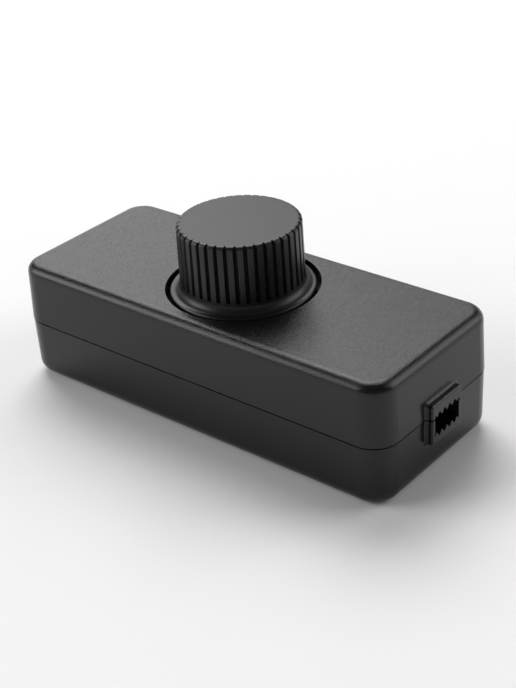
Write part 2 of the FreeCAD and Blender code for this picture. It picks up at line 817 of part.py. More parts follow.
def make_track():
    """The resistance track's wafer, with the tab that carries the legs."""
    disc = make_rod("track_disc", (0, 0, switch_top), s.pot_radius, s.track_thickness)
    tab = make_box("track_tab", (-s.track_tab_width / 2, -s.pot_radius - s.track_tab_reach, switch_top),
                   (s.track_tab_width, s.pot_radius, s.track_thickness))
    hole = make_rod("track_hole", (0, 0, switch_top), s.pivot_radius + s.shaft_clearance, s.track_thickness)
    return cut("pot_track", fuse("track_wafer", [disc, tab]), [hole])


def make_pot_legs(holes):
    """Three legs from the track's tab through the board."""
    y = -s.pot_radius - s.track_tab_reach / 2
    legs = []
    for number in (-1, 0, 1):
        x = s.pot_leg_pitch * number
        holes.append((x, y, (s.pot_leg_width + s.pot_leg_thickness) / 2 + s.lead_clearance))
        legs.append(make_box(f"pot_leg_{number + 2}",
                             (x - s.pot_leg_width / 2, y - s.pot_leg_thickness / 2, lead_end),
                             (s.pot_leg_width, s.pot_leg_thickness, switch_top - lead_end)))
    return group("pot_legs", legs)


def make_lead(name, x, y, top, holes):
    """A round lead from a level down through the board, with its hole noted."""
    holes.append((x, y, s.lead_radius + s.lead_clearance))
    return make_rod(name, (x, y, lead_end), s.lead_radius, top - lead_end)


def make_switch(holes):
    """The sealed switch can behind the track, worked by the shaft's pivot."""
    can = make_rod("switch_can", (0, 0, board_top), s.pot_radius, switch_top - board_top)
    socket = make_rod("switch_socket", (0, 0, switch_top - s.pivot_depth - s.rotor_clearance),
                      s.pivot_radius + s.shaft_clearance, s.pivot_depth + s.rotor_clearance)
    leads = [make_lead(f"switch_lead_{number + 2}", s.pot_leg_pitch * number, s.pot_leg_pitch,
                       board_top + s.lead_tail, holes) for number in (-1, 1)]
    return cut("pot_switch", fuse("switch_block", [can] + leads), [socket])


# Board and what it carries

def board_corners(sketch, radius):
    """A circle at each corner pillar of the board."""
    for x in (pillar_x, -pillar_x):
        for y in (pillar_y, -pillar_y):
            draw_circle(sketch, x, y, radius)


def make_board(holes):
    """The circuit board, drilled for the pegs and for every lead."""
    body = new_body("circuit_board")
    sketch = new_sketch(body, "outline", "XY_Plane", board_under)
    draw_rectangle(sketch, -board_half_length, board_half_length, -board_half_width, board_half_width)
    pad(body, "sheet", sketch, s.board_thickness)
    sketch = new_sketch(body, "drilling", "XY_Plane", board_top)
    board_corners(sketch, s.peg_radius + s.peg_clearance)
    for x, y, radius in holes:
        draw_circle(sketch, x, y, radius)
    pocket(body, "holes", sketch, s.board_thickness)
    return body


def terminal_poles(side):
    """Middle of each cage of the terminal block at one end."""
    return [(cage_middle * side, s.terminal_pitch / 2 * pole) for pole in (1, -1)]


def make_terminal_block(name, side):
    """A two-pole terminal block whose wire ways face the cord outlet of its end."""
    middle = terminal_middle * side
    block = make_box(name + "_body", (middle - s.terminal_depth / 2, -s.terminal_width / 2, board_top),
                     (s.terminal_depth, s.terminal_width, terminal_top - board_top))
    cuts = []
    for number, (x, y) in enumerate(terminal_poles(side), start=1):
        wide, deep = s.cage_width + s.cage_clearance * 2, s.cage_depth + s.cage_clearance * 2
        cuts += [
            make_box(f"{name}_pocket_{number}", (x - deep / 2, y - wide / 2, board_top),
                     (deep, wide, cage_top - board_top + s.cage_clearance)),
            make_rod(f"{name}_shaft_{number}", (x, y, cage_top),
                     s.clamp_screw_head_radius + s.clamp_screw_clearance, terminal_top - cage_top),
            make_rod(f"{name}_way_{number}", (terminal_outer * side, y, wire_level), s.wire_radius,
                     s.terminal_depth - s.cage_back - s.cage_depth, Vector(-side, 0, 0)),
        ]
    return cut(name, block, cuts)


def make_cages(holes):
    """The four clamping cages, each with its pin through the board."""
    cages = []
    for side in (1, -1):
        for pole, (x, y) in enumerate(terminal_poles(side), start=1):
            name = f"cage_{'output' if side > 0 else 'input'}_{pole}"
            block = make_box(name + "_block", (x - s.cage_depth / 2, y - s.cage_width / 2, board_top),
                             (s.cage_depth, s.cage_width, cage_top - board_top))
            pin = make_lead(name + "_pin", x, y, board_top + s.lead_radius, holes)
            window = make_box(name + "_window",
                              (x - s.cage_depth / 2, y - window_half, wire_level - window_half),
                              (s.cage_depth, window_half * 2, window_half * 2))
            thread = make_rod(name + "_thread", (x, y, wire_level),
                              s.clamp_screw_radius + s.clamp_screw_clearance, cage_top - wire_level)
            cages.append(cut(name, fuse(name + "_blank", [block, pin]), [window, thread]))
    return group("terminal_cages", cages)


def make_clamp_screws():
    """The four terminal screws, backed off above the wire ways."""
    screws = []
    for side in (1, -1):
        for pole, (x, y) in enumerate(terminal_poles(side), start=1):
            name = f"clamp_screw_{'output' if side > 0 else 'input'}_{pole}"
            shank = make_rod(name + "_shank", (x, y, clamp_screw_under), s.clamp_screw_radius,
                             clamp_head_under - clamp_screw_under)
            head = make_rod(name + "_head", (x, y, clamp_head_under), s.clamp_screw_head_radius,
                            s.clamp_screw_head_height)
            screws.append(fuse(name, [shank, head]))
    return group("terminal_screws", screws)


def make_power_stage(holes):
    """The triac lying along its heat sink, with the screw through its tab."""
    start = terminal_inner - s.triac_tab_length - s.triac_length
    tab_start = start + s.triac_length
    sink_y = board_half_width - s.sink_side_gap - s.sink_thickness
    under = board_top + s.triac_lift
    triac_width = well_under - s.triac_headroom - under
    middle = under + triac_width / 2
    lead_y = sink_y - s.triac_thickness / 2
    moulding = make_box("triac_moulding", (start, sink_y - s.triac_thickness, under),
                        (s.triac_length, s.triac_thickness, triac_width))
    tab = make_box("triac_tab", (tab_start, sink_y - s.triac_tab_thickness, under),
                   (s.triac_tab_length, s.triac_tab_thickness, triac_width))
    leads = []
    for number in (1, 2, 3):
        x = start - s.triac_lead_run * number
        level = middle + s.triac_lead_pitch * (number - 2)
        leads.append(make_lead(f"triac_leg_{number}", x, lead_y, level + s.lead_radius, holes))
        leads.append(make_rod(f"triac_run_{number}", (x, lead_y, level), s.lead_run_radius,
                              start + s.lead_radius - x, Vector(1, 0, 0)))
    screw_x = tab_start + s.triac_tab_length / 2
    bore = s.tab_screw_radius + s.tab_screw_clearance
    along = Vector(0, 1, 0)
    tab_face = sink_y - s.triac_tab_thickness
    tab_hole = make_rod("triac_tab_hole", (screw_x, tab_face, middle), bore, s.triac_tab_thickness, along)
    triac = cut("triac", fuse("triac_blank", [moulding, tab] + leads), [tab_hole])

    sink_length = s.triac_length + s.triac_tab_length + s.sink_overhang * 2
    plate = make_box("sink_plate", (start - s.sink_overhang, sink_y, board_top),
                     (sink_length, s.sink_thickness, well_under - s.sink_headroom - board_top))
    foot_y = sink_y + s.sink_thickness / 2
    feet = [make_lead(f"sink_foot_{number}", x, foot_y, board_top + s.lead_radius, holes)
            for number, x in enumerate((start, screw_x), start=1)]
    sink_hole = make_rod("sink_hole", (screw_x, sink_y, middle), bore, s.sink_thickness, along)
    sink = cut("heat_sink", fuse("sink_blank", [plate] + feet), [sink_hole])

    screw_start = (screw_x, tab_face - s.tab_screw_head_height, middle)
    head = make_rod("tab_screw_head", screw_start, s.tab_screw_head_radius, s.tab_screw_head_height, along)
    shank = make_rod("tab_screw_shank", screw_start, s.tab_screw_radius,
                     s.tab_screw_head_height + s.triac_tab_thickness + s.sink_thickness, along)
    return [triac, sink, fuse("triac_screw", [head, shank])]


def make_boxed(name, x, y, span, pitch, holes):
    """A boxed capacitor about a middle, with two leads along x."""
    length, width, height = span
    case = make_box(name + "_case", (x - length / 2, y - width / 2, board_top), span)
    leads = [make_lead(f"{name}_lead_{number}", x + pitch / 2 * side, y, board_top + s.lead_radius, holes)
             for number, side in enumerate((1, -1), start=1)]
    return fuse(name, [case] + leads)


def make_upright(name, x, y, radius, height, pitch, holes):
    """A round upright part about a middle, with two leads along x."""
    can = make_rod(name + "_can", (x, y, board_top), radius, height)
    leads = [make_lead(f"{name}_lead_{number}", x + pitch / 2 * side, y, board_top + s.lead_radius, holes)
             for number, side in enumerate((1, -1), start=1)]
    return fuse(name, [can] + leads)


def make_axial(name, x, y, holes):
    """A small part lying along x just above the board, with its leads bent down at both ends."""
    level = board_top + s.axial_radius + s.lead_clearance
    along = Vector(1, 0, 0)
    pieces = [
        make_rod(name + "_bead", (x - s.axial_length / 2, y, level), s.axial_radius, s.axial_length, along),
        make_rod(name + "_wire", (x - s.axial_lead_pitch / 2, y, level), s.lead_run_radius,
                 s.axial_lead_pitch, along),
    ]
    for number, side in enumerate((1, -1), start=1):
        pieces.append(make_lead(f"{name}_lead_{number}", x + s.axial_lead_pitch / 2 * side, y,
                                level + s.lead_radius, holes))
    return fuse(name, pieces)


def make_small_parts(holes):
    """The choke on the output side, and the capacitors, fuse, resistors and diac on the input side."""
    middle = s.pot_radius + part_run / 2
    edge = board_half_width - s.part_gap
    tall = part_top - board_top
    choke_radius = part_run / 2 - s.choke_gap
    capacitor_length = part_run - s.capacitor_gap * 2
    capacitor_y = -edge + s.capacitor_width / 2
    fuse_y = -edge + s.capacitor_width + s.part_gap + s.fuse_radius
    timing_y = fuse_y + s.fuse_radius + s.part_gap + s.timing_width / 2
    resistor_y = timing_y + s.timing_width / 2 + s.part_gap + s.axial_radius
    beside_terminal = s.terminal_width / 2 + s.part_gap + s.axial_radius
    return [
        make_upright("choke", middle, -edge + choke_radius, choke_radius, tall, s.choke_lead_pitch, holes),
        make_boxed("suppression_capacitor", -middle, capacitor_y,
                   (capacitor_length, s.capacitor_width, tall),
                   capacitor_length - s.capacitor_lead_inset * 2, holes),
        make_upright("fuse", -middle, fuse_y, s.fuse_radius, s.fuse_height, s.fuse_lead_pitch, holes),
        make_boxed("timing_capacitor", -middle, timing_y,
                   (s.timing_length, s.timing_width, s.timing_height), s.timing_lead_pitch, holes),
        make_axial("timing_resistor", -middle, resistor_y, holes),
        make_axial("gate_resistor", -terminal_middle, -beside_terminal, holes),
        make_axial("diac", -terminal_middle, beside_terminal, holes),
    ]


board_holes = []
nodes = [
    make_base(),
    make_cover(),
    make_case_screws(),
    make_knob(),
    make_shaft(),
    make_clip(),
    make_wiper(),
    make_pot_housing(),
    make_track(),
    make_pot_legs(board_holes),
    make_switch(board_holes),
    make_terminal_block("input_terminal_block", -1),
    make_terminal_block("output_terminal_block", 1),
    make_cages(board_holes),
    make_clamp_screws(),
]
nodes += make_power_stage(board_holes)
nodes += make_small_parts(board_holes)
nodes.append(make_board(board_holes))
doc.recompute()

for item in doc.Objects:
    if "Invalid" in item.State or "Error" in item.State:
        raise RuntimeError(f"{item.Label} did not build: {item.State}")
os.makedirs("parts", exist_ok=True)
for node in nodes:
    if node.Shape.isNull() or not node.Shape.isValid():
        raise RuntimeError(f"{node.Label} has no valid shape")
    node.Shape.exportStep(f"parts/{node.Label}.step")
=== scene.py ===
import math

import bmesh
import bpy
from mathutils import Matrix, Vector


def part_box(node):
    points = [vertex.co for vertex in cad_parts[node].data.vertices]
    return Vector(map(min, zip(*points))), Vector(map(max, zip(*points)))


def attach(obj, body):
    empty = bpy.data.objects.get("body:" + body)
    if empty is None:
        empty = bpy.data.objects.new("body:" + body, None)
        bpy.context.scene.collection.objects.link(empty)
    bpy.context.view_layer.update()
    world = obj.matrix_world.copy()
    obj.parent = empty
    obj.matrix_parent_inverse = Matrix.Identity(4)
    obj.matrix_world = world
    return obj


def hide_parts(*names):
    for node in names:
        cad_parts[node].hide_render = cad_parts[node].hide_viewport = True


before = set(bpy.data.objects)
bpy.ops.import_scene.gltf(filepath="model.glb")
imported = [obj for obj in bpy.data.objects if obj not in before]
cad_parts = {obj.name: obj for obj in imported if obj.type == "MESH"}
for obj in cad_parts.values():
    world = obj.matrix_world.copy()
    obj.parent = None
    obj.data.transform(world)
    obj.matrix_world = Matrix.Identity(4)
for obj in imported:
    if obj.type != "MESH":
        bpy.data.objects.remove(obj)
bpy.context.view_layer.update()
MM = 0.001
MERGE = 0.005 * MM
SHARP_ANGLE = math.radians(32)

# The camera fitted to the photograph: its axes and place in the frame, its lens and sensor in millimetres
CAMERA_RIGHT = Vector((0.7736, 0.6308, -0.0606))
CAMERA_UP = Vector((-0.2765, 0.4221, 0.8634))
CAMERA_BACK = Vector((0.5702, -0.6511, 0.5009))
CAMERA_PLACE = Vector((155.76, -174.92, 146.59)) * MM
LENS, SENSOR = 73.29, 36.0
CLIP_START, CLIP_END = 0.01, 20.0

# Soft lights: distance, bearing from +X towards +Y, elevation, side length and radiance
SOFTBOXES = {
    "key_softbox": (1.55, 143, 15, 0.66, 1.25),
    "right_softbox": (1.55, 50, 26, 1.05, 2.5),
    "left_softbox": (1.55, 220, 25, 0.92, 4.4),
    "top_softbox": (1.80, 137, 51, 1.28, 5.2),
}

# Surroundings: walls that dim with height and a glow along the horizon, heights from 0 level to 1 overhead
WALL_BRIGHTNESS, WALL_FALL, WALL_HEIGHTS = 0.35, 0.25, (0.05, 0.45)
HORIZON_GLOW, HORIZON_HEIGHTS = 0.58, (0.0, 0.09)

# The floor, and the distances at which it starts to pass into the plain backdrop and has become it
FLOOR_HALF, FLOOR_DROP = 4.0, 0.05 * MM
PAPER_CLOUDS, PAPER_DARK, PAPER_LIGHT = 60 * MM, (0.92, 0.92, 0.92), (0.94, 0.94, 0.94)
PAPER_ROUGHNESS, PAPER_SPECULAR = 0.9, 0.1
BACKDROP_COLOUR = (0.93, 0.93, 0.93, 1.0)
BACKDROP_START, BACKDROP_FULL = 0.25, 0.8

# Screws: the head's half profile as shares of its radius and height, the point as shares of the shank's radius,
# the cross recess as shares of the head
HEAD_PROFILE = [(0.70, 0.0), (0.86, 0.09), (0.96, 0.28), (1.0, 0.55), (1.0, 1.0)]
POINT_LENGTH, POINT_RADIUS = 0.5, 0.6
CROSS_REACH, CROSS_HALF, CROSS_TAPER, CROSS_DEPTH = 0.56, 0.13, 0.5, 0.62
SCREW_STEPS = 48
CORNERS = [(1, 1), (1, -1), (-1, 1), (-1, -1)]

# Sizes of the hidden pieces that the boxes of their nodes don't give, and how far each screw is turned
CASE_HEAD, CASE_HEAD_HEIGHT, CASE_SHANK = 2.7 * MM, 1.9 * MM, 1.45 * MM
CASE_TURNS = (20, 65, 50, 5)
CLAMP_HEAD, CLAMP_HEAD_HEIGHT, CLAMP_SHANK = 1.75 * MM, 1.6 * MM, 1.25 * MM
CLAMP_TURNS = (10, 40, 70, 25)
TAB_HEAD_HEIGHT, TAB_SHANK = 2.0 * MM, 1.5 * MM
TRIAC_TAB, TRIAC_MOULDING = 6.2 * MM, 9.2 * MM
BEAD_LENGTH = 3.8 * MM
FLANGE, WIRE_TURNS, CORE_SHARE, FLANGE_START = 1.3 * MM, 12, 0.84, 0.95
WIRE_BENDS = (-math.pi / 2, -math.pi / 4, 0.0, math.pi / 4)
CHOKE_STEPS = 64
LEAD, LEAD_STEPS, CHOKE_PITCH = 0.4 * MM, 16, 5.0 * MM
CARBON_RING = (3.7 * MM, 5.5 * MM)

# Housing plastic: sizes of its marks, their shares in the grain, and the share that is left on upright faces
PIT_SIZE, DRIFT_SIZE, HOUSING_MOTTLE = 0.19 * MM, 0.22 * MM, 9 * MM
PIT_SHARE, DRIFT_SHARE, GRAIN_MIDDLE, GRAIN_DEPTH = 0.9, 0.6, 0.75, 0.036 * MM
GRAINED_FACES, UPRIGHT_GRAIN = (0.2, 0.8), 0.1
FLAT_FACES, FLAT_DULLNESS, PIT_DULLNESS = (0.96, 0.999), 0.05, 0.07
HOUSING_ROUGHNESS, HOUSING_IOR = 0.17, 1.40
HOUSING_DARK, HOUSING_LIGHT = (0.006, 0.006, 0.0062), (0.0085, 0.0085, 0.0087)

# Knob plastic: the grooves lie between two depths below the lands, on faces that aren't level, and are duller
LAND_RADIUS, GROOVE_START, GROOVE_FULL = 11.7 * MM, 0.1 * MM, 0.45 * MM
TOP_FACES, GROOVE_DULLNESS = (0.3, 0.6), 0.45
KNOB_HAZE, KNOB_MOTTLE, KNOB_DEPTH, KNOB_RELIEF, KNOB_DULLNESS = 0.18 * MM, 6 * MM, 0.006 * MM, 0.4, 0.06
KNOB_ROUGHNESS, KNOB_IOR = 0.32, 1.41
KNOB_DARK, KNOB_LIGHT = (0.007, 0.007, 0.0072), (0.009, 0.009, 0.0092)
MOTTLE_DULLNESS = 0.03

# Marks on the hidden pieces: detail of their noise, sizes, depth and strength of their relief, and how much
# duller they make the surface
RICH, FIBROUS, FIBRE_ROUGHNESS = 3.0, 4.0, 0.6
MOULD_CLOUDS, MOULD_HAZE = 3 * MM, 0.25 * MM
PART_CLOUDS, PART_HAZE = 2 * MM, 0.2 * MM
HAZE_DEPTH, HAZE_RELIEF, HAZE_DULLNESS = 0.01 * MM, 0.5, 0.1
DRAW_LINES, METAL_CLOUDS, DRAW_DEPTH, DRAW_RELIEF = 0.12 * MM, 2 * MM, 0.004 * MM, 0.5
DRAW_DULLNESS, METAL_DULLNESS = 0.12, 0.06
BEAD_CLOUDS, BEAD_ROUGHNESS, BEAD_DULLNESS = 1 * MM, 0.22, 0.1
WIRE_CLOUDS, WIRE_ROUGHNESS, WIRE_DULLNESS, FERRITE_DULLNESS, COPPER_METAL = 0.8 * MM, 0.28, 0.08, 0.35, 0.8
COAT_DEPTH, COAT_RELIEF = 0.02 * MM, 0.4
FIBRES, FIBRE_STRETCH, SHEET_CLOUDS = 0.25 * MM, (4.0, 1.0, 1.0), 6 * MM
FIBRE_SHARE, SHEET_CLOUD_SHARE = 0.6, 0.4
SHEET_ROUGHNESS, FIBRE_DULLNESS = 0.45, 0.15

# Colours that several finishes share, and the beads' rings: start and width as shares of the bead, colour
TIN_DARK, TIN_LIGHT = (0.52, 0.52, 0.51), (0.68, 0.68, 0.67)
TAN_DARK, TAN_LIGHT = (0.42, 0.27, 0.13), (0.52, 0.35, 0.18)
SHEET_DARK, SHEET_LIGHT, CARBON = (0.20, 0.105, 0.035), (0.36, 0.21, 0.085), (0.012, 0.012, 0.013)
COPPER_DARK, COPPER_LIGHT = (0.30, 0.095, 0.03), (0.45, 0.16, 0.055)
FERRITE_DARK, FERRITE_LIGHT = (0.018, 0.018, 0.02), (0.035, 0.034, 0.034)
BROWN, BLACK, ORANGE = (0.11, 0.035, 0.012), (0.012, 0.012, 0.012), (0.5, 0.15, 0.015)
YELLOW, GOLD, SOFT_BLACK = (0.55, 0.38, 0.02), (0.48, 0.3, 0.08), (0.014, 0.014, 0.014)
TIMING_BANDS = [(0.12, 0.1, BROWN), (0.3, 0.1, BLACK), (0.48, 0.1, YELLOW), (0.76, 0.1, GOLD)]
GATE_BANDS = [(0.12, 0.1, ORANGE), (0.3, 0.1, ORANGE), (0.48, 0.1, BROWN), (0.76, 0.1, GOLD)]
DIAC_BANDS = [(0.1, 0.14, SOFT_BLACK)]

# Sockets of the Mix node that hold its two colours, and the one that gives the result
MIX_LOW, MIX_HIGH, MIX_RESULT = 6, 7, 2


class Signal:
    """A value that flows between the nodes of one material. Sums and products of it add Math nodes."""

    def __init__(self, tree, socket):
        self.tree = tree
        self.socket = socket

    def make(self, kind, settings=None, sockets=None, output=0):
        """Adds a node, its settings first and then its socket values or links, and gives one of its outputs."""
        node = self.tree.nodes.new(kind)
        for name, value in (settings or {}).items():
            setattr(node, name, value)
        for name, value in (sockets or {}).items():
            if isinstance(value, Signal):
                self.tree.links.new(value.socket, node.inputs[name])
            else:
                node.inputs[name].default_value = value
        return Signal(self.tree, node.outputs[output] if node.outputs else None)

    def maths(self, operation, first, second):
        """One Math node on two values."""
        return self.make("ShaderNodeMath", {"operation": operation}, {0: first, 1: second})

    def __add__(self, other):
        return self.maths("ADD", self, other)

    def __radd__(self, other):
        return self.maths("ADD", other, self)

    def __sub__(self, other):
        return self.maths("SUBTRACT", self, other)

    def __rsub__(self, other):
        return self.maths("SUBTRACT", other, self)

    def __mul__(self, other):
        return self.maths("MULTIPLY", self, other)

    def above(self, size):
        """1 where this value is over a size."""
        return self.maths("GREATER_THAN", self, size)

    def along(self, axis):
        """One coordinate of this place: 0 for x, 1 for y, 2 for z."""
        return self.make("ShaderNodeSeparateXYZ", {}, {"Vector": self}, axis)

    def stretched(self, scale):
        """This place drawn out along each axis, for streaks."""
        return self.make("ShaderNodeVectorMath", {"operation": "DIVIDE"}, {0: self, 1: scale})

    def from_axis(self, x, y):
        """Distance from an upright axis."""
        across = self.along(0) - x
        deep = self.along(1) - y
        return self.maths("SQRT", across * across + deep * deep, 0.0)

    def noise(self, size, detail=2.0, roughness=0.5):
        """Cloudy noise with features of about a size in metres."""
        return self.make("ShaderNodeTexNoise", {"noise_dimensions": "3D"},
                         {"Vector": self, "Scale": 1 / size, "Detail": detail, "Roughness": roughness})

    def craters(self, size):
        """Small round pits about a size apart, in metres: 0 at their middles."""
        return self.make("ShaderNodeTexVoronoi", {"voronoi_dimensions": "3D", "feature": "F1"},
                         {"Vector": self, "Scale": 1 / size, "Randomness": 1.0})

    def ramp(self, start, end):
        """A smooth rise from 0 to 1 between two sizes."""
        return self.make("ShaderNodeMapRange", {"interpolation_type": "SMOOTHSTEP"},
                         {"Value": self, "From Min": start, "From Max": end})

    def magnitude(self):
        """This value without its sign."""
        return self.maths("ABSOLUTE", self, 0.0)

    def level_faces(self, start, end):
        """1 on faces that look up or down, 0 on upright ones; start and end are heights of the unit normal."""
        normal = self.make("ShaderNodeTexCoord", output="Normal")
        return normal.along(2).magnitude().ramp(start, end)

    def blend(self, low, high):
        """A colour between two, by this value. Each is a colour or a signal of one."""
        ends = [end if isinstance(end, Signal) else (*end, 1.0) for end in (low, high)]
        return self.make("ShaderNodeMix", {"data_type": "RGBA"},
                         {"Factor": self, MIX_LOW: ends[0], MIX_HIGH: ends[1]}, MIX_RESULT)

    def relief(self, depth, strength):
        """A bumped normal with this value as its height."""
        return self.make("ShaderNodeBump", {},
                         {"Strength": strength, "Distance": depth, "Height": self})


def start_finish(name):
    """A new material and its object coordinates."""
    material = bpy.data.materials.new(name)
    material.use_nodes = True
    tree = material.node_tree
    tree.nodes.clear()
    return material, Signal(tree, tree.nodes.new("ShaderNodeTexCoord").outputs["Object"])


def close_finish(material, place, sockets):
    """Puts the surface shader on the material."""
    surface = place.make("ShaderNodeBsdfPrincipled", {}, sockets)
    place.make("ShaderNodeOutputMaterial", {}, {"Surface": surface})
    return material


def spark_eroded_black():
    """Satin black housing plastic, with the pitting of a spark-eroded mould that fades on upright faces."""
    material, place = start_finish("spark_eroded_black")
    drift = place.noise(DRIFT_SIZE)
    pits = place.craters(PIT_SIZE)
    mottle = place.noise(HOUSING_MOTTLE)
    level = place.level_faces(*FLAT_FACES)
    grained = place.level_faces(*GRAINED_FACES)
    cover = UPRIGHT_GRAIN + grained * (1 - UPRIGHT_GRAIN)
    grain = (pits * PIT_SHARE + drift * DRIFT_SHARE - GRAIN_MIDDLE) * cover
    roughness = HOUSING_ROUGHNESS + level * FLAT_DULLNESS + pits * PIT_DULLNESS + mottle * MOTTLE_DULLNESS
    return close_finish(material, place, {
        "Base Color": mottle.blend(HOUSING_DARK, HOUSING_LIGHT),
        "Roughness": roughness,
        "Normal": grain.relief(GRAIN_DEPTH, 1.0),
        "IOR": HOUSING_IOR,
    })


def smooth_black():
    """The knob's smoother black plastic, duller in its grooves."""
    material, place = start_finish("smooth_black")
    haze = place.noise(KNOB_HAZE)
    mottle = place.noise(KNOB_MOTTLE)
    inside = 1 - place.from_axis(0.0, 0.0).ramp(LAND_RADIUS - GROOVE_FULL, LAND_RADIUS - GROOVE_START)
    groove = inside * (1 - place.level_faces(*TOP_FACES))
    roughness = KNOB_ROUGHNESS + groove * GROOVE_DULLNESS + haze * KNOB_DULLNESS + mottle * MOTTLE_DULLNESS
    return close_finish(material, place, {
        "Base Color": mottle.blend(KNOB_DARK, KNOB_LIGHT),
        "Roughness": roughness,
        "Normal": haze.relief(KNOB_DEPTH, KNOB_RELIEF),
        "IOR": KNOB_IOR,
    })


def moulded(name, dark, light, roughness):
    """Plain moulded plastic: a cloudy colour and a fine haze in the gloss."""
    material, place = start_finish(name)
    cloud = place.noise(MOULD_CLOUDS, RICH)
    haze = place.noise(MOULD_HAZE)
    return close_finish(material, place, {
        "Base Color": cloud.blend(dark, light),
        "Roughness": roughness + haze * HAZE_DULLNESS,
        "Normal": haze.relief(HAZE_DEPTH, HAZE_RELIEF),
    })


def metal(name, dark, light, roughness, draw):
    """Bare or plated metal with drawing lines, drawn out along each axis by draw."""
    material, place = start_finish(name)
    lines = place.stretched(draw).noise(DRAW_LINES, RICH)
    cloud = place.noise(METAL_CLOUDS, RICH)
    return close_finish(material, place, {
        "Base Color": cloud.blend(dark, light),
        "Roughness": roughness + lines * DRAW_DULLNESS + cloud * METAL_DULLNESS,
        "Metallic": 1.0,
        "Normal": lines.relief(DRAW_DEPTH, DRAW_RELIEF),
    })


def part_with_leads(name, dark, light, roughness, bare):
    """A moulded or lacquered part whose leads are bare tinned wire; bare finds them from the place."""
    material, place = start_finish(name)
    wire = bare(place)
    cloud = place.noise(PART_CLOUDS, RICH)
    haze = place.noise(PART_HAZE)
    return close_finish(material, place, {
        "Base Color": wire.blend(cloud.blend(dark, light), cloud.blend(TIN_DARK, TIN_LIGHT)),
        "Roughness": roughness + haze * HAZE_DULLNESS,
        "Metallic": wire,
        "Normal": haze.relief(HAZE_DEPTH, HAZE_RELIEF),
    })


def below_board(place):
    """The lead ends, below the top of the circuit board."""
    return 1 - place.along(2).above(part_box("circuit_board")[1][2])


def beside_moulding(place):
    """The triac's legs on one side of its moulding and its tab on the other."""
    x = place.along(0)
    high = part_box("triac")[1]
    tab_edge = high[0] - TRIAC_TAB
    return x.above(tab_edge) + (1 - x.above(tab_edge - TRIAC_MOULDING))


def banded(name, node, dark, light, bands):
    """A lacquered bead lying along x, with colour rings and tinned wires; bands are shares of the bead."""
    material, place = start_finish(name)
    low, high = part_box(node)
    middle = (low[0] + high[0]) / 2
    share = (place.along(0) - (middle - BEAD_LENGTH / 2)) * (1 / BEAD_LENGTH)
    cloud = place.noise(BEAD_CLOUDS, RICH)
    colour = cloud.blend(dark, light)
    for start, width, tint in bands:
        ring = share.above(start) * (1 - share.above(start + width))
        colour = ring.blend(colour, tint)
    wire = (1 - share.above(0.0)) + share.above(1.0)
    return close_finish(material, place, {
        "Base Color": wire.blend(colour, cloud.blend(TIN_DARK, TIN_LIGHT)),
        "Roughness": BEAD_ROUGHNESS + cloud * BEAD_DULLNESS,
        "Metallic": wire,
        "Normal": cloud.relief(COAT_DEPTH, COAT_RELIEF),
    })


def phenolic_sheet(name, ring=None):
    """Brown paper laminate with fibres, and a black carbon ring between two radii where one is given."""
    material, place = start_finish(name)
    fibres = place.stretched(FIBRE_STRETCH).noise(FIBRES, FIBROUS, FIBRE_ROUGHNESS)
    cloud = place.noise(SHEET_CLOUDS, RICH)
    colour = (fibres * FIBRE_SHARE + cloud * SHEET_CLOUD_SHARE).blend(SHEET_DARK, SHEET_LIGHT)
    if ring:
        radius = place.from_axis(0.0, 0.0)
        colour = (radius.above(ring[0]) * (1 - radius.above(ring[1]))).blend(colour, CARBON)
    return close_finish(material, place, {
        "Base Color": colour,
        "Roughness": SHEET_ROUGHNESS + fibres * FIBRE_DULLNESS,
        "Normal": fibres.relief(HAZE_DEPTH, HAZE_RELIEF),
    })


def wound_wire():
    """Ferrite flanges and enamelled copper turns, told apart by their distance from the choke's axis."""
    material, place = start_finish("wound_wire")
    low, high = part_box("choke")
    radius = place.from_axis((low[0] + high[0]) / 2, (low[1] + high[1]) / 2)
    ferrite = radius.above((high[0] - low[0]) / 2 * FLANGE_START)
    lead = below_board(place)
    cloud = place.noise(WIRE_CLOUDS, RICH)
    copper = cloud.blend(COPPER_DARK, COPPER_LIGHT)
    stone = cloud.blend(FERRITE_DARK, FERRITE_LIGHT)
    return close_finish(material, place, {
        "Base Color": lead.blend(ferrite.blend(copper, stone), cloud.blend(TIN_DARK, TIN_LIGHT)),
        "Roughness": WIRE_ROUGHNESS + ferrite * FERRITE_DULLNESS + cloud * WIRE_DULLNESS,
        "Metallic": (1 - ferrite) * COPPER_METAL,
        "Normal": cloud.relief(COAT_DEPTH, COAT_RELIEF),
    })


def turned(shape, profile, steps):
    """Spins a half profile of radius and height round the z axis."""
    points = [shape.verts.new((radius, 0.0, height)) for radius, height in profile]
    lines = [shape.edges.new(pair) for pair in zip(points, points[1:])]
    bmesh.ops.spin(shape, geom=points + lines, cent=(0, 0, 0), axis=(0, 0, 1), angle=math.tau, steps=steps,
                   use_merge=True)
    bmesh.ops.remove_doubles(shape, verts=shape.verts, dist=MERGE)


